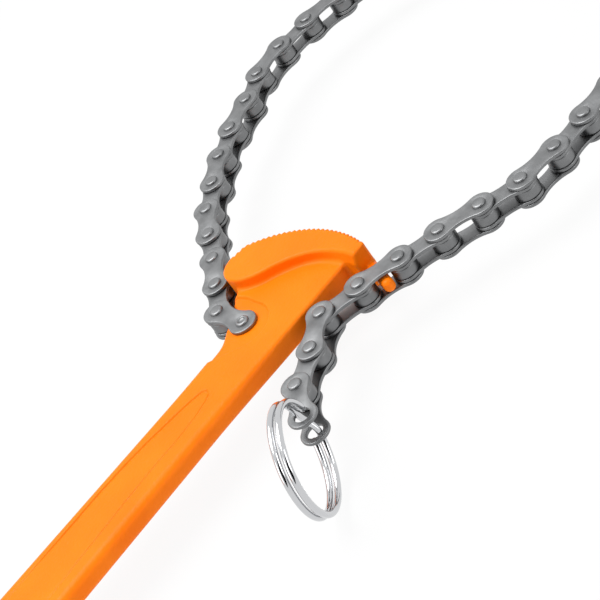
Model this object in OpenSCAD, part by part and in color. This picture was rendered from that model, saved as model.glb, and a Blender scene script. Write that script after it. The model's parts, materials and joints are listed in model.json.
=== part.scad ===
// Chain wrench: a flat handle with a toothed jaw, and a roller chain that loops from an anchor pin
// round the work and back to a hook peg under the jaw. Millimetres.
// The origin is the centre of the hang hole, half way through the bar. +X runs along the handle to
// the jaw, +Z along the chain's pins. Places on the head are given from the anchor pin.

/* [Handle] */
// Distance along the handle from the hang hole to the anchor pin
anchor_reach = 152; // [120:1:200]
// How far the anchor pin lies below the bar's upper edge
anchor_drop = 1.5; // [1:0.1:2]
// Width of the grip, at the hang hole
grip_w = 25; // [22:0.2:28]
// Width of the neck, at the anchor pin
neck_w = 19.4; // [17:0.2:19.8]
// Thickness of the bar
bar_t = 6.6; // [6:0.1:7.4]
// Chamfer along the bar's long edges
bar_chamfer = 1.2; // [0.6:0.1:1.8]
// Diameter of the hang hole
hang_hole_d = 9; // [5:0.5:11]
// Depth of the sunk panel on each face
panel_depth = 0.4; // [0.2:0.1:0.6]
// Distance from the sunk panel to the bar's edges
panel_margin = 4.8; // [3.5:0.1:6]
// Distance from the sunk panel's pointed tip to the anchor pin
panel_tip = 23; // [18:0.5:30]
// Length of the panel's taper
panel_taper = 40; // [25:1:50]

/* [Anchor lug] */
// Radius of the lug round the anchor pin
lug_r = 5.4; // [4.8:0.1:6]
// Radius of the spot face on each side of the lug
spot_r = 8.3; // [7:0.1:9]
// Radius of the blend from the bar's upper edge to the lug
lug_blend_r = 6; // [4:0.5:8]

/* [Jaw] */
// Thickness of the jaw
jaw_t = 14; // [12:0.2:16]
// Radius of the toothed face, at the tooth tips
jaw_r = 42.5; // [40:0.5:46]
// Width of the jaw, half way along its face
jaw_w = 11.1; // [10:0.1:12]
// Radius of the jaw's round upper end
jaw_end_r = 9; // [8.6:0.1:9.4]
// Radius of the corner between that end and the step
jaw_heel_r = 5.5; // [5:0.1:5.8]
// How far the jaw's lower end lies below the anchor pin
jaw_low = 23; // [21:0.5:24.5]
// Spacing of the teeth along the face
tooth_pitch = 1.75; // [1.4:0.05:2.4]
// Depth of the teeth
tooth_h = 0.7; // [0.4:0.05:1]

/* [Hook peg] */
// How far the peg reaches past the middle of the hooked link
peg_tip = 4.8; // [3.5:0.1:5]

/* [Chain] */
// Pitch of the chain
pitch = 12.7; // [12.4:0.1:13]
// Number of links on the round part of the loop, between the two strands
arc_links = 17; // [15:2:19]
// Diameter of the rollers
roller_d = 7.75; // [7.4:0.05:7.8]
// Diameter of the pins
pin_d = 3.6; // [3.2:0.1:3.8]
// Diameter of the bushes
bush_d = 5; // [4.6:0.1:5.2]
// Width between the inner plates
inner_w = 3.3; // [3:0.1:3.4]
// Thickness of every plate
plate_t = 1; // [0.8:0.05:1.1]
// Height of the outer plates at their round ends
outer_plate_h = 8.5; // [8.2:0.1:8.6]
// Height of the inner plates at their round ends
inner_plate_h = 8.2; // [7.9:0.1:8.3]
// Height of every plate at its waist
waist_h = 5.8; // [5.2:0.1:6.6]
// Diameter of a riveted pin head
head_d = 4; // [3.9:0.1:4.8]
// Height of a riveted pin head
head_h = 0.6; // [0.3:0.05:0.8]
// Diameter of the cupped centre of the anchor pin's head
anchor_cup_d = 2; // [1:0.1:2.4]

/* [Split ring] */
// Outer diameter of the split ring
ring_d = 31.4; // [30:0.2:33]
// Diameter of its wire
wire_d = 1.8; // [1.5:0.1:1.9]
// Gap between its two turns
turn_gap = 0.45; // [0.42:0.01:0.6]

/* [Fits] */
// Running clearance on radius, pin in bush and bush in roller
run_gap = 0.05; // [0.02:0.01:0.08]
// Gap on radius that keeps pressed pieces apart
press_gap = 0.01; // [0.005:0.005:0.02]
// Side clearance between neighbouring plates
side_gap = 0.1; // [0.05:0.01:0.2]
// Side clearance between the lug and the first link's plates
lug_gap = 0.15; // [0.1:0.05:0.4]
// Clearance along the chain from the hook peg to the links beside it
peg_gap = 0.6; // [0.5:0.05:0.9]
// Side clearance from the hook peg to the hooked link's plates
peg_side_gap = 0.75; // [0.5:0.05:1]
// Play of the split ring across the end link's open holes
ring_play = 0.75; // [0.7:0.05:1.2]

/* [Hidden] */
$fn = 64;
cut = 0.5;
orange = "#f98a1e";
steel = "#8c8e90";
chrome = "#d9dbde";

// Directions of the links in degrees, from +X: the upper strand from the anchor pin outwards, the
// lower strand from the hooked link outwards, and the tail from the hooked link to the ring.
upper_dirs = [88.5, 51, 53, 55, 52, 39, 38, 30, 21, 28, 8, -6];
hooked_dir = -26;
lower_dirs = [-26, -30, -30, -9, -2];
tail_dirs = [159, 213, 206, 236];

// Places on the head, from the anchor pin
jaw_centre = [-8.2, -11.5];
step_shift = [7.3, -8.9];
jaw_end = [18.35, 10.64];
jaw_top_dir = 46;
jaw_mid_dir = 18;
jaw_low_dir = -14;
jaw_shoulder_dir = 76;
jaw_side_dir = 165;
jaw_heel_dir = 63;
heel_side_dir = 190;
end_inside_dir = 36;
jaw_merge = 0.15;
end_steps = 12;
neck_back = [[3.2, 6], [4.9, 9.6], [9, 12]];
head_inside = [[14, 16], [29, 0], [30.8, -12], [30.8, -21]];
spot_centre = [-1, -0.7];
spot_tail = [[-14, -0.4], [-6.8, -6.6]];
spot_head = [[7.3, 0], [7.6, 6.3], [6.6, 10.2], [-14, 12]];
hook_mid = [27.8, -31.2];
peg_dir = 250;
peg_root = 12;
ring_dir = 225.5;
ring_lift = 2;
ring_seat = -0.52;
ring_step_dir = 187;
ring_step_angle = 30;
ring_end_angle = 17;

anchor = [anchor_reach, grip_w / 2 - anchor_drop];
bar_top = grip_w / 2;
neck_low = bar_top - neck_w;

inner_over = inner_w + 2 * plate_t;
outer_gap = inner_over + 2 * side_gap;
outer_over = outer_gap + 2 * plate_t;
lug_t = outer_gap - 2 * lug_gap;
peg_t = outer_gap - 2 * peg_side_gap;
peg_w = pitch - inner_plate_h - 2 * peg_gap;

function unit(a) = [cos(a), sin(a)];
function walk(start, dirs, n) = n == 0 ? start : walk(start, dirs, n - 1) + pitch * unit(dirs[n - 1]);
function strand(start, dirs) = [for (n = [0:len(dirs)]) walk(start, dirs, n)];
function backwards(list) = [for (n = [len(list) - 1:-1:0]) list[n]];
function direction(v) = atan2(v[1], v[0]);

// Hollow circle of the step behind the jaw, and the round corner where the jaw's upper end meets the step.
// Round corners overlap the shapes beside them by jaw_merge.
step_centre = jaw_centre + step_shift;
step_r = norm((jaw_r - jaw_w) * unit(jaw_mid_dir) - step_shift);
jaw_heel = step_centre + (step_r + jaw_heel_r - jaw_merge) * unit(jaw_heel_dir);

// The round part of the loop: equal turns at every pin, found by halving so that the links
// just span the distance between the two strands
function span(turn) = pitch * sin(arc_links * turn / 2) / sin(turn / 2);
function turn_for(length, low, high, n) =
    n == 0 ? (low + high) / 2
    : span((low + high) / 2) > length ? turn_for(length, (low + high) / 2, high, n - 1)
    : turn_for(length, low, (low + high) / 2, n - 1);

hook = anchor + hook_mid;
upper = strand(anchor, upper_dirs);
lower = strand(hook + pitch / 2 * unit(hooked_dir), lower_dirs);
tail = strand(hook - pitch / 2 * unit(hooked_dir), tail_dirs);
arc_start = upper[len(upper) - 1];
arc_chord = lower[len(lower) - 1] - arc_start;
arc_turn = turn_for(norm(arc_chord), 0.01, 360 / arc_links, 50);
arc_dirs = [for (n = [0:arc_links - 1]) direction(arc_chord) + arc_turn * ((arc_links - 1) / 2 - n)];
arc = strand(arc_start, arc_dirs);

// Every pin from the anchor to the open holes, in order along the chain
pins = concat(upper, [for (n = [1:arc_links - 1]) arc[n]], backwards(lower), tail);
links = len(pins) - 1;
ring_hole = pins[links];

function is_outer(k) = k % 2 == 1;
function link_name(k) = str(is_outer(k) ? "outer_link_" : "inner_link_", k < 10 ? "0" : "", k);

// Bar, neck and lug, seen from above
module bar_plan() {
    circle(d = grip_w);
    polygon(concat(
        [[0, -bar_top], [anchor[0], neck_low]],
        backwards([for (p = concat(neck_back, head_inside)) anchor + p]),
        [anchor, [anchor[0], bar_top], [0, bar_top]]
    ));
    polygon([[anchor[0], neck_low], anchor + head_inside[3], anchor + head_inside[2], anchor]);
    translate(anchor) circle(lug_r);
    lug_blend();
}

// Hollow blend between the bar's upper edge and the lug
module lug_blend() {
    up = lug_blend_r + anchor_drop;
    back = sqrt((lug_r + lug_blend_r) ^ 2 - up ^ 2);
    meet = lug_r / (lug_r + lug_blend_r);
    translate(anchor) difference() {
        polygon([[-back, -lug_r / 2], [-back, anchor_drop], [-back * meet, up * meet], [0, -lug_r / 2]]);
        translate([-back, up]) circle(lug_blend_r);
    }
}

// Crescent of the jaw, with its teeth
module jaw_plan() {
    step = tooth_pitch / jaw_r * 180 / PI;
    teeth = floor((jaw_top_dir - jaw_low_dir) / step);
    face = [for (n = [0:teeth - 1], half = [0, 1])
        jaw_centre + (jaw_r - half * tooth_h) * unit(jaw_low_dir + (n + half / 2) * step)];
    top = jaw_centre + jaw_r * unit(jaw_top_dir);
    low = jaw_centre + jaw_r * unit(jaw_low_dir);
    difference() {
        polygon(concat([jaw_centre, [low[0], -jaw_low]], face,
            [top, jaw_heel, step_centre + step_r / 2 * unit(jaw_heel_dir)]));
        translate(step_centre) circle(step_r);
        translate([-jaw_r, -jaw_low - jaw_r]) square([3 * jaw_r, jaw_r]);
    }
    translate(jaw_heel) circle(jaw_heel_r);
    end_turn = (jaw_side_dir - jaw_shoulder_dir) / end_steps;
    polygon(concat(
        [top],
        [for (n = [0:end_steps]) jaw_end + jaw_end_r * unit(jaw_shoulder_dir + n * end_turn)],
        [jaw_heel + (jaw_heel_r - jaw_merge) * unit(heel_side_dir), jaw_heel,
            jaw_centre + (jaw_r - jaw_end_r) * unit(end_inside_dir)]
    ));
}

// Flat that thins the lug, open to the bar's upper edge
module spot_plan() {
    translate(spot_centre) circle(spot_r);
    polygon(concat(spot_tail, spot_head));
}

module panel_plan() {
    tip = [anchor[0] - panel_tip, (bar_top + neck_low) / 2];
    back = tip[0] - panel_taper;
    start = hang_hole_d / 2 + panel_margin;
    polygon([
        tip,
        [back, bar_top - panel_margin],
        [start, bar_top - panel_margin],
        [start, bar_low(start) + panel_margin],
        [back, bar_low(back) + panel_margin]
    ]);
}

// Lower edge of the bar at a distance along it
function bar_low(x) = -bar_top + (neck_low + bar_top) * x / anchor[0];

// Wedge that takes the corner off a long edge from one point to another
module edge_cut(from, to) {
    run = to - from;
    for (side = [-1, 1])
        translate([from[0], from[1], side * bar_t / 2])
            rotate([0, 0, direction(run)])
                rotate([45, 0, 0])
                    translate([0, -bar_chamfer / sqrt(2), -bar_chamfer / sqrt(2)])
                        cube([norm(run), sqrt(2) * bar_chamfer, sqrt(2) * bar_chamfer]);
}

module hook_peg() {
    translate([hook[0], hook[1], -peg_t / 2]) rotate([0, 0, peg_dir]) {
        translate([-peg_root, -peg_w / 2, 0]) cube([peg_root + peg_tip - peg_w / 2, peg_w, peg_t]);
        translate([peg_tip - peg_w / 2, 0, 0]) cylinder(d = peg_w, h = peg_t);
    }
}

module handle() {
    color(orange) difference() {
        union() {
            difference() {
                linear_extrude(bar_t, center = true) bar_plan();
                edge_cut([0, bar_top], [anchor[0] - lug_r - lug_blend_r, bar_top]);
                edge_cut([0, -bar_top], [anchor[0] + jaw_low, bar_low(anchor[0] + jaw_low)]);
                for (side = [-1, 1])
                    translate([anchor[0], anchor[1], side * (lug_t + bar_t) / 2])
                        linear_extrude(bar_t, center = true) spot_plan();
                for (side = [-1, 1])
                    translate([0, 0, side * (bar_t - panel_depth)])
                        linear_extrude(bar_t, center = true) panel_plan();
            }
            translate(anchor) linear_extrude(jaw_t, center = true) jaw_plan();
            hook_peg();
        }
        cylinder(d = hang_hole_d, h = bar_t + 2 * cut, center = true);
        translate(anchor) cylinder(r = pin_d / 2 + run_gap, h = bar_t + 2 * cut, center = true);
    }
}

// Plate with two round ends and a hollow waist, from one pin to the next
module plate_plan(h, hole_from, hole_to) {
    r = h / 2;
    w = waist_h / 2;
    hollow = ((pitch / 2) ^ 2 + w ^ 2 - r ^ 2) / (2 * (r - w));
    meet = r / (r + hollow);
    difference() {
        union() {
            circle(r);
            translate([pitch, 0]) circle(r);
            difference() {
                translate([meet * pitch / 2, -meet * (w + hollow)])
                    square([pitch * (1 - meet), 2 * meet * (w + hollow)]);
                for (side = [-1, 1]) translate([pitch / 2, side * (w + hollow)]) circle(hollow);
            }
        }
        circle(d = hole_from);
        translate([pitch, 0]) circle(d = hole_to);
    }
}

// A pair of plates with the given width over their outer faces
module plates(over, h, hole_from, hole_to) {
    for (side = [-1, 1])
        translate([0, 0, side * (over - plate_t) / 2])
            linear_extrude(plate_t, center = true) plate_plan(h, hole_from, hole_to);
}

// Riveted pin through an outer link's plates
module pin() {
    cylinder(d = pin_d, h = outer_over + 2 * press_gap + head_h, center = true);
    for (side = [-1, 1])
        translate([0, 0, side * (outer_over / 2 + press_gap + head_h / 2)])
            cylinder(d = head_d, h = head_h, center = true);
}

module bush() {
    difference() {
        cylinder(d = bush_d, h = inner_over, center = true);
        cylinder(r = pin_d / 2 + run_gap, h = inner_over + 2 * cut, center = true);
    }
}

module roller() {
    difference() {
        cylinder(d = roller_d, h = inner_w - side_gap, center = true);
        cylinder(r = bush_d / 2 + run_gap, h = inner_w + 2 * cut, center = true);
    }
}

module outer_link(k) {
    pin_hole = pin_d + 2 * press_gap;
    color(steel) {
        plates(outer_over, outer_plate_h, pin_hole, k == links ? ring_hole_d : pin_hole);
        if (k > 1) pin();
        if (k < links) translate([pitch, 0, 0]) pin();
    }
}

module inner_link() {
    bush_hole = bush_d + 2 * press_gap;
    color(steel) {
        plates(inner_over, inner_plate_h, bush_hole, bush_hole);
        for (n = [0, 1]) translate([n * pitch, 0, 0]) {
            bush();
            roller();
        }
    }
}

module chain_link(k) {
    from = pins[k - 1];
    translate([from[0], from[1], 0]) rotate([0, 0, direction(pins[k] - from)]) {
        if (is_outer(k)) outer_link(k);
        else inner_link();
    }
}

module anchor_pin() {
    color(steel) translate(anchor) difference() {
        pin();
        for (side = [-1, 1])
            translate([0, 0, side * (outer_over / 2 + press_gap + head_h)])
                cylinder(d = anchor_cup_d, h = head_h, center = true);
    }
}

// Split ring: one wire of two turns that steps from one turn to the other. The ring stands upright
// through the end link's open holes.
wire_sides = 6;
turn_steps = 24;
wire_step = 360 / turn_steps;
wire_last = floor((720 - 2 * ring_end_angle) / wire_step);
turn_pitch = wire_d + turn_gap;
ring_hole_d = turn_pitch + wire_d + ring_play;
ring_r = (ring_d - wire_d) / 2;
ring_out = [unit(ring_dir)[0], unit(ring_dir)[1], 0];
ring_axis = [ring_out[1], -ring_out[0], 0];
ring_up = [0, 0, 1];
ring_mid = [ring_hole[0], ring_hole[1], ring_lift] + (ring_r + ring_seat) * ring_out;

// How far the step has gone, from 0 to 1, at an angle along the wire
function eased(x) = x * x * (3 - 2 * x);
function step_share(a) = eased(max(0, min(1, (a - 360) / ring_step_angle + 0.5)));
function wire_angle(n) = ring_end_angle + wire_step * n;
function ring_radial(a) = cos(a + ring_step_dir) * ring_out + sin(a + ring_step_dir) * ring_up;
function wire_middle(a) =
    ring_mid + ring_r * ring_radial(a) + turn_pitch * (0.5 - step_share(a)) * ring_axis;
function wire_ring(a) = [for (s = [0:wire_sides - 1])
    wire_middle(a) + wire_d / 2 * (cos(360 * s / wire_sides) * ring_radial(a)
        + sin(360 * s / wire_sides) * ring_axis)];

middles = [for (n = [0:wire_last]) wire_middle(wire_angle(n))];
ring_gap = min([for (i = [0:wire_last - turn_steps / 2], j = [i + turn_steps / 2:wire_last])
    norm(middles[i] - middles[j])]) - wire_d;
echo(split_ring_gap_to_itself = ring_gap);

module split_ring() {
    points = [for (n = [0:wire_last]) each wire_ring(wire_angle(n))];
    sides = [for (n = [0:wire_last - 1], s = [0:wire_sides - 1])
        let (a = n * wire_sides + s, b = n * wire_sides + (s + 1) % wire_sides)
        each [[a, b, b + wire_sides], [a, b + wire_sides, a + wire_sides]]];
    ends = [for (s = [1:wire_sides - 2])
        each [[0, s + 1, s], wire_last * wire_sides * [1, 1, 1] + [0, s, s + 1]]];
    color(chrome) polyhedron(points, concat(sides, ends));
}

handle();
anchor_pin();
for (k = [1:links]) chain_link(k);
split_ring();
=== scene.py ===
import json
import math

import bpy
import numpy as np
from mathutils import Matrix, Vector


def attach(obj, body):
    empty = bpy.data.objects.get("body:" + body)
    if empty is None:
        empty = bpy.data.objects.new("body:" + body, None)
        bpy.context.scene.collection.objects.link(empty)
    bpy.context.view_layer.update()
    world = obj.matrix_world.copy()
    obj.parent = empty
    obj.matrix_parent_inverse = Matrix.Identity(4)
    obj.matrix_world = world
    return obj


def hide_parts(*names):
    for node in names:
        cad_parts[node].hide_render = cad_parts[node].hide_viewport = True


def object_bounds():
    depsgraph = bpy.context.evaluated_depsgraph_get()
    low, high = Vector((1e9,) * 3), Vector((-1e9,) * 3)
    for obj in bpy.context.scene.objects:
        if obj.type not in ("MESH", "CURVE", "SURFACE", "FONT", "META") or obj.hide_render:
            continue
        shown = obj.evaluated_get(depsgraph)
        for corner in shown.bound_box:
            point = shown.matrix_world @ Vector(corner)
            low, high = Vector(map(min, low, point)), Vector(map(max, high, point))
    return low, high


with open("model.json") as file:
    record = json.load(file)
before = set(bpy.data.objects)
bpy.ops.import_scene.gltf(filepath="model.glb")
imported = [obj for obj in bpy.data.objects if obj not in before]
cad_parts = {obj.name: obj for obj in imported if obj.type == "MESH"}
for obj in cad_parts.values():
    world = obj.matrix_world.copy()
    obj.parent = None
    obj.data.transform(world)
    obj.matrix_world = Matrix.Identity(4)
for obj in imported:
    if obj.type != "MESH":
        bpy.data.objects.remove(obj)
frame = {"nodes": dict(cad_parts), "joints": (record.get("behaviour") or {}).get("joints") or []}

cad_low, cad_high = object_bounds()

# Every size below is in millimetres, in a frame with the anchor pin at the origin.
MM = 0.001
JOINTS = {j["name"]: j for j in frame["joints"]}
ANCHOR = np.array(JOINTS["anchor_hinge"]["pos_m"]) / MM

# Handle: the bar, with its round end at the hang hole
BAR_TOP, BAR_HALF = 1.5, 3.3
BAR_RIGHT = 6.0
HANG_HOLE = np.array([-152.0, -11.0])
GRIP_R, HANG_HOLE_R, HANG_HOLE_EDGE_R = 12.5, 4.5, 0.8
# The bar's edges are rounder towards the grip: the middle of the change along X, and its length.
BAR_EDGE_R, NECK_EDGE_R = 2.8, 1.1
EDGE_CHANGE_X, EDGE_CHANGE_LENGTH = -12.0, 40.0
# Lug for the anchor pin, and the neck behind the jaw
LUG_R, LUG_BORE_R, LUG_BLEND = 5.4, 1.9, 7.0
NECK_LOW = -17.9
NECK = [(-1, -6), (2.4, 6.3), (4.2, 10), (8.7, 12.4), (14, 16), (29, 0), (30.8, -12), (31, -17.3), (26, -17.4),
        (21, -17.5), (14, -17.7), (0, NECK_LOW), (-4, NECK_LOW - 0.1)]
# Sunk panel, which grows shallower towards the grip
PANEL = [(-23.1, -8.3), (-23.8, -7.4), (-28, -6.2), (-35, -5.1), (-42.6, -3.9), (-50, -3.1), (-61, -2.7), (-90, -3),
         (-143, -3.1), (-143, -18.3), (-90, -15.2), (-77, -14), (-69, -13.4), (-60, -12.7), (-49, -12.1), (-38, -12),
         (-34, -11.6), (-30, -11.2), (-25.8, -10.2), (-23.7, -9.4)]
PANEL_CORNER_R, PANEL_SLOPE = 0.6, 0.6
PANEL_SINK, PANEL_LINE, PANEL_LINE_W = 0.25, 0.34, 0.28
PANEL_FADE, PANEL_FADE_X, PANEL_FADE_LENGTH = 0.7, -85.0, 30.0
# Spot face round the lug
SPOT_CENTRE, SPOT_R = (-1, -0.7), 8.3
SPOT_RUN_OUT = [(-14.5, 0), (-7.1, -6.2), (7.2, -1), (7.6, 6.3), (6.8, 10.4), (-14, 12)]
SPOT_SINK, SPOT_SLOPE, SPOT_BLEND = 0.7, 0.7, 0.8
# Jaw: the toothed front, the hollow step behind it, and the lines that end it
JAW_CENTRE = np.array([-8.2, -11.5])
JAW_R, JAW_HALF = 42.5, 7.0
STEP_CENTRE = np.array([-0.9, -20.4])
STEP_R = 29.24
STEP_LEAN, STEP_LEAN_Y, STEP_LEAN_LENGTH = 1.1, -11.0, 13.0
TOOTH_PITCH, TOOTH_H = 1.75, 0.7
TEETH_FROM, TEETH_TO, TEETH_FADE = math.radians(-14), math.radians(52), 0.03
SHOULDER = (19.33, 19.67), (13.51, 21.12)
HEEL = (8.95, 14.84), (9.39, 9.86)
FOOT = (20, -22.3), (33, -23.1)
JAW_END_R, JAW_HEEL_R, STEP_FOOT_R, FRONT_FOOT_R = 9.0, 5.5, 1.0, 0.8
# The rim of the jaw's faces is sharper at the teeth than this far behind them.
TEETH_RIM_R, BACK_RIM_R, RIM_CHANGE_LENGTH = 0.35, 0.95, 4.0
JAW_FILLET = 1.3
# Hook peg, thinner at its root: the shares of its length where the change starts and ends
PEG_ROOT = np.array([31.9, -19.9])
PEG_TIP = np.array([26.73, -34.15])
PEG_R, PEG_EDGE_R, PEG_FILLET = 1.65, 1.3, 0.6
PEG_HALF, PEG_ROOT_HALF = 2.0, 0.9
PEG_THIN_TO, PEG_THICK_FROM = 0.24, 0.64
# Chain
PITCH = 12.7
PLATE_T, PLATE_BEVEL, HOLE_BEVEL = 1.0, 0.26, 0.12
OUTER_PLATE_R, INNER_PLATE_R, WAIST = 4.25, 4.1, 2.9
OUTER_Z, INNER_Z = 3.25, 2.15
PIN_R, BUSH_R, ROLLER_R = 1.8, 2.5, 3.875
BUSH_BORE_R, ROLLER_BORE_R, PRESS_GAP = 1.85, 2.55, 0.01
BUSH_HALF, ROLLER_HALF = 2.65, 1.6
HEAD_R, HEAD_TOP, HEAD_FOOT = 2.0, 4.36, 3.76
RING_HOLE_R = 2.4
# Split ring
RING_R, WIRE_R, TURN_PITCH = 14.8, 0.9, 2.25
RING_DIR = math.radians(225.5)
RING_LIFT, RING_SEAT = 2.0, -0.52
RING_STEP_DIR = math.radians(187)
RING_STEP, RING_END = math.radians(30), math.radians(17)
WIRE_DOME = 0.9 * WIRE_R


def round_and(a, b, r):
    """Where both shapes are, with the outer corner between them rounded to radius r: the larger of the two
    distances, and within r of both edges the distance to a circle of radius r."""
    corner = np.hypot(np.maximum(a + r, 0), np.maximum(b + r, 0))
    return np.minimum(np.maximum(a, b) + r, 0) + corner - r


def soft_or(a, b, width):
    """Where either shape is, with the inner corner filled: the smaller of the two distances, less a parabola
    over the stretch where they differ by less than width."""
    share = np.clip(0.5 + 0.5 * (b - a) / width, 0, 1)
    return b + (a - b) * share - width * share * (1 - share)


def soft_step(distance, width):
    """0 outside an outline and 1 inside it, with a cubic slope of the given width on the edge."""
    t = np.clip(0.5 - distance / width, 0, 1)
    return t * t * (3 - 2 * t)


def polygon_field(x, y, corners):
    """Distance to a polygon, negative inside: the least distance to its edges, signed by how many edges a
    ray to the right crosses."""
    least = np.full(x.shape, 1e9)
    inside = np.zeros(x.shape, bool)
    for (ax, ay), (bx, by) in zip(corners, corners[1:] + corners[:1]):
        ex, ey = bx - ax, by - ay
        t = np.clip(((x - ax) * ex + (y - ay) * ey) / (ex * ex + ey * ey), 0, 1)
        least = np.minimum(least, np.hypot(x - ax - t * ex, y - ay - t * ey))
        if ey:
            inside ^= ((ay > y) != (by > y)) & (x < ax + (y - ay) * ex / ey)
    return np.where(inside, -least, least)


def from_point(x, y, p):
    """Distance in plan to a point."""
    return np.hypot(x - p[0], y - p[1])


def beyond(x, y, a, b):
    """Distance past the line from a to b, positive on its right-hand side."""
    ex, ey = b[0] - a[0], b[1] - a[1]
    return ((x - a[0]) * ey - (y - a[1]) * ex) / math.hypot(ex, ey)


def bar_plan(x, y):
    """Bar, lug and neck in plan: a strip between two straight edges with a round end at the hang hole, a disc
    for the lug with a hollow blend, and a polygon for the neck behind the jaw."""
    low = beyond(x, y, HANG_HOLE - [0, GRIP_R], (0, NECK_LOW))
    strip = np.maximum(np.maximum(y - BAR_TOP, low), np.maximum(HANG_HOLE[0] - x, x - BAR_RIGHT))
    bar = np.minimum(strip, from_point(x, y, HANG_HOLE) - GRIP_R)
    lug = np.hypot(x, y) - LUG_R
    return np.minimum(soft_or(bar, lug, LUG_BLEND), polygon_field(x, y, NECK))


def panel_plan(x, y):
    """Sunk panel in plan: a long polygon with a narrow round tip towards the jaw, its corners rounded."""
    return polygon_field(x, y, PANEL) - PANEL_CORNER_R


def spot_plan(x, y):
    """Flat round the lug in plan: a disc that runs out to the bar's upper edge and up to the jaw's foot."""
    return soft_or(from_point(x, y, SPOT_CENTRE) - SPOT_R, polygon_field(x, y, SPOT_RUN_OUT), SPOT_BLEND)


def tooth_notch(x, y):
    """How deep the toothed face is cut in: a triangle wave round the jaw's middle, one tooth a pitch, that fades
    out at both ends."""
    angle = np.arctan2(y - JAW_CENTRE[1], x - JAW_CENTRE[0])
    phase = (angle - TEETH_FROM) * JAW_R / TOOTH_PITCH
    wave = 2 * np.abs(phase - np.floor(phase) - 0.5)
    return TOOTH_H * (1 - wave) * soft_step(np.maximum(TEETH_FROM - angle, angle - TEETH_TO), TEETH_FADE)


def bar_field(x, y, height):
    """Distance to the bar, lug and neck: their plan carried up to a half thickness with rounded edges. The
    thickness drops at the spot face and at the sunk panel, which has a fine line along its edge and runs out
    towards the grip."""
    panel = panel_plan(x, y)
    line = PANEL_LINE * np.exp(-(panel / PANEL_LINE_W) ** 2)
    fade = 1 - PANEL_FADE * soft_step(x - PANEL_FADE_X, PANEL_FADE_LENGTH)
    sink = (PANEL_SINK * soft_step(panel, PANEL_SLOPE) + line) * fade
    half = BAR_HALF - sink - SPOT_SINK * soft_step(spot_plan(x, y), SPOT_SLOPE)
    edge_r = NECK_EDGE_R + (BAR_EDGE_R - NECK_EDGE_R) * soft_step(x - EDGE_CHANGE_X, EDGE_CHANGE_LENGTH)
    return round_and(bar_plan(x, y), height - half, edge_r)


def jaw_field(x, y, height):
    """Distance to the jaw: the crescent between the toothed front circle and the step circle, ended by three
    straight lines with rounded corners, carried up to the jaw's half thickness. The wall along the step leans
    out as it goes down to the bar."""
    notch = tooth_notch(x, y)
    front = from_point(x, y, JAW_CENTRE) - JAW_R + notch
    depth = np.clip((JAW_HALF - height) / (JAW_HALF - BAR_HALF), 0, 1)
    lean = STEP_LEAN * depth * soft_step(y - STEP_LEAN_Y, STEP_LEAN_LENGTH)
    step = STEP_R - lean - from_point(x, y, STEP_CENTRE)
    shoulder, heel, foot = beyond(x, y, *SHOULDER) + notch, beyond(x, y, *HEEL), beyond(x, y, *FOOT)
    upper = np.maximum(round_and(shoulder, heel, JAW_END_R), round_and(step, heel, JAW_HEEL_R))
    lower = np.maximum(round_and(step, foot, STEP_FOOT_R), round_and(front, foot, FRONT_FOOT_R))
    rim_r = TEETH_RIM_R + (BACK_RIM_R - TEETH_RIM_R) * np.clip(-front / RIM_CHANGE_LENGTH, 0, 1)
    return round_and(np.maximum(front, np.maximum(upper, lower)), height - JAW_HALF, rim_r)


def peg_field(x, y, height):
    """Distance to the hook peg: a round-ended rod in plan, carried up to a half thickness that grows from the
    root towards the tip."""
    along = PEG_TIP - PEG_ROOT
    t = np.clip(((x - PEG_ROOT[0]) * along[0] + (y - PEG_ROOT[1]) * along[1]) / (along @ along), 0, 1)
    rod = np.hypot(x - PEG_ROOT[0] - t * along[0], y - PEG_ROOT[1] - t * along[1]) - PEG_R
    grown = np.clip((t - PEG_THIN_TO) / (PEG_THICK_FROM - PEG_THIN_TO), 0, 1)
    return round_and(rod, height - PEG_ROOT_HALF - (PEG_HALF - PEG_ROOT_HALF) * grown, PEG_EDGE_R)


def handle_field(x, y, z):
    """Distance to the handle's skin, negative inside, the same above and below: bar, jaw and peg joined with
    fillets, less the hang hole and the bore for the anchor pin."""
    height = np.abs(z)
    head = soft_or(bar_field(x, y, height), jaw_field(x, y, height), JAW_FILLET)
    whole = soft_or(head, peg_field(x, y, height), PEG_FILLET)
    whole = round_and(whole, HANG_HOLE_R - from_point(x, y, HANG_HOLE), HANG_HOLE_EDGE_R)
    return np.maximum(whole, LUG_BORE_R - np.hypot(x, y))


def slope(field, p):
    """Gradient of a field at points, from differences over a small step each way."""
    h = 0.02
    parts = [field(*(p + d).T) - field(*(p - d).T) for d in h * np.eye(3)]
    return np.stack(parts, 1) / (2 * h)


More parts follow.
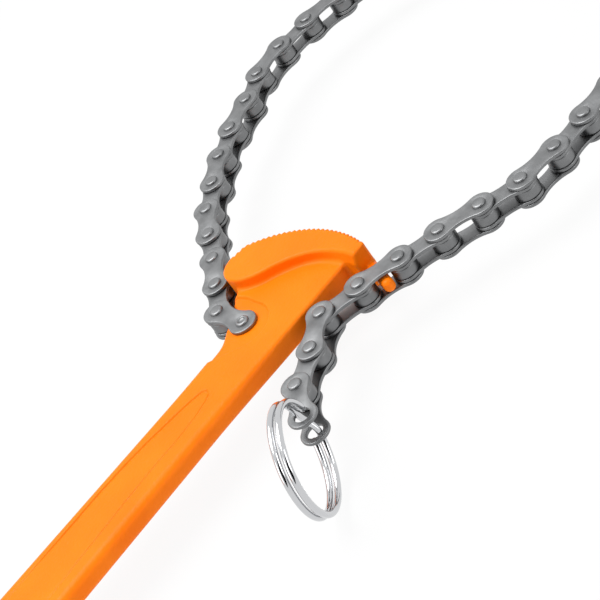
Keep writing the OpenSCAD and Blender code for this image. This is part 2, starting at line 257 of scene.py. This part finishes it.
def net_surface(field, xs, ys, zs):
    """Skin of a field on a grid. Each cell that the skin crosses gets one point, at the mean of the crossings
    on its edges, which then steps down the slope on to the skin. Each grid edge that the skin crosses gets
    one face, between the four cells round that edge."""
    value = field(*np.meshgrid(xs, ys, zs, indexing="ij"))
    inside = value < 0
    corners = np.array([[i, j, k] for i in (0, 1) for j in (0, 1) for k in (0, 1)])
    windows = [inside[tuple(slice(c, n - 1 + c) for c, n in zip(o, inside.shape))] for o in corners]
    crossed = np.any(windows, 0) & ~np.all(windows, 0)
    cell = np.argwhere(crossed)
    total, count = np.zeros((len(cell), 3)), np.zeros((len(cell), 1))
    for a in range(8):
        for b in range(a):
            if np.abs(corners[a] - corners[b]).sum() == 1:
                pa, pb = cell + corners[a], cell + corners[b]
                va, vb = value[tuple(pa.T)], value[tuple(pb.T)]
                cross = ((va < 0) != (vb < 0))[:, None]
                t = (va / np.where(va == vb, 1, va - vb))[:, None]
                ga, gb = (np.stack([xs[p[:, 0]], ys[p[:, 1]], zs[p[:, 2]]], 1) for p in (pa, pb))
                total += cross * (ga + t * (gb - ga))
                count += cross
    points = total / count
    for _ in range(4):
        g = slope(field, points)
        points -= field(*points.T)[:, None] * g / np.maximum((g * g).sum(1, keepdims=True), 0.1)
    number = np.full(crossed.shape, -1)
    number[tuple(cell.T)] = np.arange(len(cell))
    faces = []
    for axis in range(3):
        u, w = np.eye(3, dtype=int)[(axis + 1) % 3], np.eye(3, dtype=int)[(axis + 2) % 3]
        low, high = (inside[tuple(slice(s, s - 1 or None) if d == axis else slice(1, -1) for d in range(3))]
                     for s in (0, 1))
        edge = np.argwhere(low != high)
        outward = low[tuple(edge.T)]
        edge = edge + u + w
        quad = np.stack([number[tuple((edge - o).T)] for o in (u + w, w, 0 * u, u)], 1)
        faces.append(np.where(outward[:, None], quad, quad[:, ::-1]))
    return points, np.concatenate(faces), slope(field, points)


def grid_faces(rows, columns, first=0):
    """Four-sided faces of a grid of points numbered row by row."""
    i = first + np.arange((rows - 1) * columns).reshape(rows - 1, columns)[:, :-1].ravel()
    return np.stack([i, i + columns, i + columns + 1, i + 1], 1)


def join(parts):
    """Several (points, faces) as one, with points that coincide merged and faces that collapse dropped."""
    starts = np.cumsum([0] + [len(p) for p, _ in parts])
    points = np.concatenate([p for p, _ in parts])
    faces = np.concatenate([f + s for (_, f), s in zip(parts, starts)])
    _, first, back = np.unique(np.round(points, 4), axis=0, return_index=True, return_inverse=True)
    faces = back.reshape(-1)[faces]
    distinct = 1 + (np.diff(np.sort(faces, 1), axis=1) != 0).sum(1)
    return points[first], faces[distinct > 2]


def turned(profile, sides=40):
    """A profile of (radius, height) points turned about the Z axis: every point goes round a circle."""
    r, z = np.array(profile, float).T
    a = np.linspace(0, 2 * math.pi, sides + 1)
    points = np.stack([np.outer(r, np.cos(a)), np.outer(r, np.sin(a)), np.outer(z, np.ones_like(a))], -1)
    return points.reshape(-1, 3), grid_faces(len(r), sides + 1)


def plate_half(end_r, hole_r):
    """Upper skin, rim and hole of half a link plate, round the pin at the origin. The outline is the end circle
    with a hollow waist arc on each side. Rows of points follow it at set depths inwards, where the skin drops
    over a quarter circle, and the first rows go round the hole. A second patch runs from the hole to the
    middle line of the plate."""
    hollow = ((PITCH / 2) ** 2 + WAIST ** 2 - end_r ** 2) / (2 * (end_r - WAIST))
    arc_y = WAIST + hollow
    meet = math.atan2(arc_y, PITCH / 2)
    along = np.linspace(-math.pi / 2, meet - math.pi, 9)
    across = np.linspace(meet, math.pi, 15)[1:]
    waist_in = np.stack([np.cos(along), np.sin(along)], 1)
    end_in = -np.stack([np.cos(across), np.sin(across)], 1)
    inward = np.concatenate([waist_in, end_in])
    outline = np.concatenate([hollow * waist_in + [PITCH / 2, arc_y], -end_r * end_in])
    flip = np.array([1, -1])
    inward, outline = (np.concatenate([v, (v * flip)[-2::-1]]) for v in (inward, outline))
    depth = PLATE_BEVEL * np.array([2.2, 1, 0.62, 0.29, 0.076, 0, 0])
    edge = outline + depth[:, None, None] * inward
    edge_z = PLATE_T / 2 - PLATE_BEVEL * (1 - np.sqrt(1 - np.clip(1 - depth / PLATE_BEVEL, 0, 1) ** 2))
    edge_z[-1] = 0
    reach = hole_r + HOLE_BEVEL * np.array([0, 0, 0.3, 1])
    hole_z = np.array([0, PLATE_T / 2 - HOLE_BEVEL, PLATE_T / 2 - 0.3 * HOLE_BEVEL, PLATE_T / 2])
    middle_y = np.linspace(-1, 1, len(along)) * edge[0, 0, 1]
    middle = np.stack([0 * middle_y + PITCH / 2, middle_y], 1)

    def patch(rows, heights):
        """A grid from the hole out through rows of points, each column in line with its first point."""
        a = np.arctan2(rows[0, :, 1], rows[0, :, 0])
        hole = reach[:, None, None] * np.stack([np.cos(a), np.sin(a)], 1)
        xy = np.concatenate([hole, rows])
        z = np.concatenate([hole_z, heights])[:, None, None] + 0 * xy[..., :1]
        return np.concatenate([xy, z], 2).reshape(-1, 3), grid_faces(*xy.shape[:2])

    return join([patch(edge, edge_z), patch(middle[None], edge_z[:1])])


def mirrored(part, scale, shift=(0, 0, 0)):
    """A part flipped by scale factors of 1 or -1 and moved; an odd number of flips turns its faces round."""
    points, faces = part
    return points * scale + shift, faces if np.prod(scale) > 0 else faces[:, ::-1]


def plate(end_r, hole_from, hole_to):
    """A whole link plate, level with z = 0: two halves, each with an upper and a lower skin."""
    start, end = plate_half(end_r, hole_from), plate_half(end_r, hole_to)
    return join([mirrored(start, (1, 1, 1)), mirrored(start, (1, 1, -1)),
                 mirrored(end, (-1, 1, 1), (PITCH, 0, 0)), mirrored(end, (-1, 1, -1), (PITCH, 0, 0))])


def moved(part, shift):
    """A part with every point shifted by the same amount."""
    return part[0] + np.array(shift, float), part[1]


def both_ends(profile):
    """A profile from the top of the Z axis down to the middle, carried on down to its mirror image."""
    return profile + [(r, -z) for r, z in profile[::-1]]


# Riveted pin: a flat head on each end, with a rounded rim.
PIN = turned(both_ends([
    (0, HEAD_TOP), (1.4, HEAD_TOP), (1.58, HEAD_TOP - 0.025), (1.75, HEAD_TOP - 0.09), (1.88, HEAD_TOP - 0.19),
    (1.96, HEAD_TOP - 0.31), (HEAD_R, HEAD_TOP - 0.45), (HEAD_R, HEAD_FOOT), (PIN_R, HEAD_FOOT), (PIN_R, 0)]))
# Anchor pin: the same, with a cup spun into each end.
CUPPED_PIN = turned(both_ends([
    (0, HEAD_TOP - 0.4), (0.8, HEAD_TOP - 0.4), (0.98, HEAD_TOP - 0.3), (1.1, HEAD_TOP - 0.1),
    (1.25, HEAD_TOP - 0.01), (1.45, HEAD_TOP), (1.7, HEAD_TOP - 0.06), (1.87, HEAD_TOP - 0.18),
    (1.96, HEAD_TOP - 0.31), (HEAD_R, HEAD_TOP - 0.45), (HEAD_R, HEAD_FOOT), (PIN_R, HEAD_FOOT), (PIN_R, 0)]))
# Bush and roller: tubes with a small bevel in the bore and a rounded outer rim.
BUSH = turned([
    (BUSH_BORE_R, 0), (BUSH_BORE_R, -2.6), (1.9, -BUSH_HALF), (2.44, -BUSH_HALF), (BUSH_R, -2.58), (BUSH_R, 2.58),
    (2.44, BUSH_HALF), (1.9, BUSH_HALF), (BUSH_BORE_R, 2.6), (BUSH_BORE_R, 0)])
ROLLER = turned([
    (ROLLER_BORE_R, 0), (ROLLER_BORE_R, -1.5), (2.65, -ROLLER_HALF), (3.55, -ROLLER_HALF), (3.72, -1.55),
    (3.83, -1.43), (ROLLER_R, -1.25), (ROLLER_R, 1.25), (3.83, 1.43), (3.72, 1.55), (3.55, ROLLER_HALF),
    (2.65, ROLLER_HALF), (ROLLER_BORE_R, 1.5), (ROLLER_BORE_R, 0)])


def link_parts(number, last):
    """The pieces of one link, lying along +X from its first pin: two plates, and either pins or bushes and
    rollers at the ends."""
    far = (PITCH, 0, 0)
    if number % 2 == 0:
        skin = plate(INNER_PLATE_R, BUSH_R + PRESS_GAP, BUSH_R + PRESS_GAP)
        ends = [moved(p, s) for p in (BUSH, ROLLER) for s in ((0, 0, 0), far)]
        return [moved(skin, (0, 0, INNER_Z)), moved(skin, (0, 0, -INNER_Z))] + ends
    pin_hole = PIN_R + PRESS_GAP
    skin = plate(OUTER_PLATE_R, pin_hole, RING_HOLE_R if number == last else pin_hole)
    ends = [moved(PIN, s) for s, there in (((0, 0, 0), number > 1), (far, number < last)) if there]
    return [moved(skin, (0, 0, OUTER_Z)), moved(skin, (0, 0, -OUTER_Z))] + ends


def ring_wire():
    """Split ring: a circle carried twice round, whose two turns lie side by side and step across by a cubic
    ease; the wire is a circle about that path with a domed end."""
    hole = np.array(JOINTS["ring_swing"]["pos_m"]) / MM - ANCHOR
    out = np.array([math.cos(RING_DIR), math.sin(RING_DIR), 0])
    axis, up = np.array([out[1], -out[0], 0]), np.array([0, 0, 1.0])
    middle = hole + [0, 0, RING_LIFT] + (RING_R + RING_SEAT) * out
    first, last = RING_END, 4 * math.pi - RING_END
    dome = WIRE_DOME / RING_R * np.array([0, 0.1, 0.25, 0.45, 0.7])
    past_dome = 0.07
    a = np.concatenate([first + dome, np.linspace(first + past_dome, last - past_dome, 220), last - dome[::-1]])
    to_end = np.minimum(a - first, last - a) * RING_R / WIRE_DOME
    thick = WIRE_R * np.sqrt(1 - np.clip(1 - to_end, 0, 1) ** 2)
    t = np.clip((a - 2 * math.pi) / RING_STEP + 0.5, 0, 1)
    across = TURN_PITCH * (0.5 - t * t * (3 - 2 * t))
    radial = np.outer(np.cos(a + RING_STEP_DIR), out) + np.outer(np.sin(a + RING_STEP_DIR), up)
    path = middle + RING_R * radial + np.outer(across, axis)
    b = np.linspace(0, 2 * math.pi, 21)
    points = path[:, None] + thick[:, None, None] * (
        np.cos(b)[None, :, None] * radial[:, None] + np.sin(b)[None, :, None] * axis)
    return points.reshape(-1, 3), grid_faces(len(a), len(b))[:, ::-1]


def linear(hex_colour):
    """sRGB hex to linear RGBA."""
    c = np.array([int(hex_colour[i:i + 2], 16) / 255 for i in (1, 3, 5)])
    c = np.where(c <= 0.04045, c / 12.92, ((c + 0.055) / 1.055) ** 2.4)
    return (*c, 1.0)


def add(tree, kind, inputs=(), **settings):
    """Adds one shader node; inputs maps a socket to a value or to another node's output."""
    node = tree.nodes.new("ShaderNode" + kind)
    for key, value in settings.items():
        setattr(node, key, value)
    for key, value in dict(inputs).items():
        if isinstance(value, bpy.types.NodeSocket):
            tree.links.new(value, node.inputs[key])
        else:
            node.inputs[key].default_value = value
    return node


def material(name):
    """A new material with an empty node tree."""
    made = bpy.data.materials.new(name)
    made.use_nodes = True
    made.node_tree.nodes.clear()
    return made, made.node_tree


def ramp(tree, fac, stops):
    """A colour ramp between (place, hex) stops."""
    node = add(tree, "ValToRGB", {"Fac": fac})
    for element, (place, colour) in zip(node.color_ramp.elements, stops):
        element.position, element.color = place, linear(colour)
    return node.outputs["Color"]


def powder_coat():
    # Orange powder coat on a forged bar: a satin baked film, a little uneven in tone, with a fine orange peel
    # that breaks up the light on the rounded edges.
    made, tree = material("orange_powder_coat")
    place = add(tree, "TexCoord").outputs["Object"]
    cloud = add(tree, "TexNoise", {"Vector": place, "Scale": 1 / (18 * MM), "Detail": 3.0})
    peel = add(tree, "TexNoise", {"Vector": place, "Scale": 1 / (1.1 * MM), "Detail": 2.0, "Roughness": 0.6})
    bump = add(tree, "Bump", {"Height": peel.outputs["Fac"], "Strength": 0.9, "Distance": 0.12 * MM})
    film = add(tree, "BsdfPrincipled", {
        "Base Color": ramp(tree, cloud.outputs["Fac"], [(0.3, "#fb7600"), (0.7, "#ff8006")]),
        "Roughness": 0.42, "Specular IOR Level": 0.14, "Normal": bump.outputs["Normal"]})
    add(tree, "OutputMaterial", {"Surface": film.outputs["BSDF"]})
    return made


def chain_steel():
    # Phosphated chain steel, tumbled after blanking: a grey satin metal with faint blotches and a fine grit.
    made, tree = material("tumbled_chain_steel")
    place = add(tree, "TexCoord").outputs["Object"]
    blotch = add(tree, "TexNoise", {"Vector": place, "Scale": 1 / (4 * MM), "Detail": 4.0})
    grit = add(tree, "TexNoise", {"Vector": place, "Scale": 1 / (0.5 * MM), "Detail": 2.0})
    bump = add(tree, "Bump", {"Height": grit.outputs["Fac"], "Strength": 0.25, "Distance": 0.05 * MM})
    rough = add(tree, "MapRange", {"Value": blotch.outputs["Fac"], "To Min": 0.36, "To Max": 0.52})
    metal = add(tree, "BsdfPrincipled", {
        "Base Color": ramp(tree, blotch.outputs["Fac"], [(0.3, "#747576"), (0.7, "#868788")]),
        "Metallic": 1.0, "Roughness": rough.outputs["Result"], "Normal": bump.outputs["Normal"]})
    add(tree, "OutputMaterial", {"Surface": metal.outputs["BSDF"]})
    return made


def bright_plate():
    # Bright nickel plate on hard spring wire: mirror-like, with faint drawing marks.
    made, tree = material("bright_nickel_plate")
    place = add(tree, "TexCoord").outputs["Object"]
    marks = add(tree, "TexNoise", {"Vector": place, "Scale": 1 / (1.5 * MM), "Detail": 3.0})
    rough = add(tree, "MapRange", {"Value": marks.outputs["Fac"], "To Min": 0.06, "To Max": 0.12})
    metal = add(tree, "BsdfPrincipled", {
        "Base Color": linear("#c9cacc"), "Metallic": 1.0, "Roughness": rough.outputs["Result"]})
    add(tree, "OutputMaterial", {"Surface": metal.outputs["BSDF"]})
    return made


def piece(name, part, body, finish, nodes, normals=None, smooth_deg=35):
    """Puts points in millimetres from the anchor pin into a mesh in the part's frame, and ties it to its body.
    A face that has one corner twice becomes a triangle."""
    points, faces = part
    twice = faces == np.roll(faces, 1, axis=1)
    bent = twice.any(1)
    triangles = faces[bent][~twice[bent]].reshape(-1, 3)
    mesh = bpy.data.meshes.new(name)
    mesh.from_pydata(((points + ANCHOR) * MM).tolist(), [], faces[~bent].tolist() + triangles.tolist())
    mesh.update()
    mesh.shade_smooth()
    if normals is None:
        mesh.set_sharp_from_angle(angle=math.radians(smooth_deg))
    else:
        unit = normals / np.linalg.norm(normals, axis=1)[:, None]
        mesh.normals_split_custom_set_from_vertices(unit.tolist())
    made = bpy.data.objects.new(name, mesh)
    bpy.context.scene.collection.objects.link(made)
    made.data.materials.append(finish)
    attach(made, body)
    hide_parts(*nodes)
    return made


coat, steel, nickel = powder_coat(), chain_steel(), bright_plate()

# Grid for the handle's skin, finer where the shape is: the head, the sunk panel, and the round end.
xs = np.concatenate([np.arange(-164.6, -140, 1.1), np.arange(-140, -62, 2.0), np.arange(-62, -22, 0.6),
                     np.arange(-22, 35.2, 0.33)])
ys = np.concatenate([np.arange(-37.0, -19.5, 0.36), np.arange(-19.5, 1.6, 0.22), np.arange(1.6, 24.0, 0.36)])
zs = np.arange(-7.4, 7.5, 0.35)
skin, skin_faces, skin_normals = net_surface(handle_field, xs, ys, zs)
piece("handle_skin", (skin, skin_faces), "handle", coat, ["handle"], skin_normals)

CHAIN = sorted(n for n in frame["nodes"] if "_link_" in n)
LAST = len(CHAIN)
pins = [JOINTS["anchor_hinge"]["pos_m"]] + [JOINTS["link_%02d_hinge" % k]["pos_m"] for k in range(2, LAST + 1)]
pins = np.array(pins + [JOINTS["ring_swing"]["pos_m"]]) / MM - ANCHOR
for node in CHAIN:
    k = int(node[-2:])
    run = (pins[k] - pins[k - 1]) / PITCH
    turn = np.array([[run[0], -run[1], 0], [run[1], run[0], 0], [0, 0, 1]])
    points, faces = join(link_parts(k, LAST))
    part = points @ turn.T + pins[k - 1], faces
    piece(node + "_dressed", part, "link_%02d" % k, steel, [node])
piece("anchor_pin_dressed", join([CUPPED_PIN]), "link_01", steel, ["anchor_pin"])
piece("split_ring_wire", join([ring_wire()]), "ring", nickel, ["split_ring"])


def shown_white(tree):
    """1 for the rays that show the background: straight from the camera, in metal and through glass."""
    ray = add(tree, "LightPath").outputs
    seen = add(tree, "Math", {0: ray["Is Camera Ray"], 1: ray["Is Glossy Ray"]}, operation="MAXIMUM")
    shown = add(tree, "Math", {0: seen.outputs[0], 1: ray["Is Transmission Ray"]}, operation="MAXIMUM")
    return shown.outputs[0]


def studio_white():
    # Matt white card: white to the eye and in reflections, with the object's faint shadow kept in it.
    made, tree = material("white_card")
    card = add(tree, "BsdfDiffuse", {"Color": linear("#e6e6e6")})
    glow = add(tree, "Emission", {"Color": linear("#ffffff"), "Strength": 1.0})
    part_glow = add(tree, "Math", {0: shown_white(tree), 1: 0.93}, operation="MULTIPLY")
    mix = add(tree, "MixShader", {0: part_glow.outputs[0], 1: card.outputs[0], 2: glow.outputs[0]})
    add(tree, "OutputMaterial", {"Surface": mix.outputs[0]})
    return made


def black_flag():
    # Black felt flag behind the camera: only metal shows it, as the dark streaks along the ring's wire.
    made, tree = material("black_felt")
    path = add(tree, "LightPath")
    felt = add(tree, "BsdfDiffuse", {"Color": linear("#0a0a0a")})
    clear = add(tree, "BsdfTransparent")
    mix = add(tree, "MixShader", {0: path.outputs["Is Glossy Ray"], 1: clear.outputs[0], 2: felt.outputs[0]})
    add(tree, "OutputMaterial", {"Surface": mix.outputs[0]})
    return made


def plane(name, corners, finish):
    """A flat four-sided card of the studio, from its corners in metres."""
    mesh = bpy.data.meshes.new(name)
    mesh.from_pydata(corners, [], [(0, 1, 2, 3)])
    made = bpy.data.objects.new(name, mesh)
    made.data.materials.append(finish)
    bpy.context.scene.collection.objects.link(made)


# Studio: from here on, places are in metres.
FLOOR_Z, FLOOR_HALF = cad_low.z - 0.002, 3.0
plane("floor", [(x * FLOOR_HALF, y * FLOOR_HALF, FLOOR_Z) for x, y in ((-1, -1), (1, -1), (1, 1), (-1, 1))],
      studio_white())
plane("camera_flag", [(-0.6, -0.62, 0.1), (0.25, -0.75, 0.1), (0.25, -0.6, 0.7), (-0.6, -0.47, 0.7)], black_flag())

world = bpy.data.worlds.new("studio")
bpy.context.scene.world = world
world.use_nodes = True
sky = world.node_tree
sky.nodes.clear()
white = add(sky, "Background", {"Color": (1, 1, 1, 1), "Strength": 1.0})
fill = add(sky, "Background", {"Color": (1, 1, 1, 1), "Strength": 0.4})
mix = add(sky, "MixShader", {0: shown_white(sky), 1: fill.outputs[0], 2: white.outputs[0]})
add(sky, "OutputWorld", {"Surface": mix.outputs[0]})


def softbox(name, at, aim, size, watts):
    """A square lamp at a place in metres, turned to shine at a point."""
    data = bpy.data.lights.new(name, "AREA")
    data.shape, data.size, data.energy = "SQUARE", size, watts
    lamp = bpy.data.objects.new(name, data)
    bpy.context.scene.collection.objects.link(lamp)
    lamp.location = at
    back = np.array(at, float) - np.array(aim, float)
    back /= np.linalg.norm(back)
    right = np.cross((0, 1, 0.01), back)
    right /= np.linalg.norm(right)
    lamp.rotation_euler = Matrix(np.stack([right, np.cross(back, right), back], 1).tolist()).to_euler()


HEAD = (0.17, 0.0, 0.0)
softbox("top_light", (0.0, 0.25, 0.9), HEAD, 0.7, 10.5)
softbox("left_light", (-0.75, 0.1, 0.35), HEAD, 0.5, 1.5)
softbox("front_light", (0.5, -0.7, 0.3), HEAD, 0.4, 1.5)

# Camera at the photograph's viewing angle, fitted to a square frame.
camera_data = bpy.data.cameras.new("camera")
camera_data.sensor_width = 36.0
camera_data.lens = 120.2862
camera_data.clip_start, camera_data.clip_end = 0.01, 20
camera = bpy.data.objects.new("camera", camera_data)
bpy.context.scene.collection.objects.link(camera)
camera.matrix_world = Matrix.Translation((0.00315, -0.419517, 0.30225)) @ Matrix((
    (0.626778, 0.719453, -0.299228),
    (-0.598915, 0.199166, -0.77565),
    (-0.498448, 0.665373, 0.555724))).to_4x4()
bpy.context.scene.camera = camera
bpy.context.scene.view_settings.view_transform = "Standard"
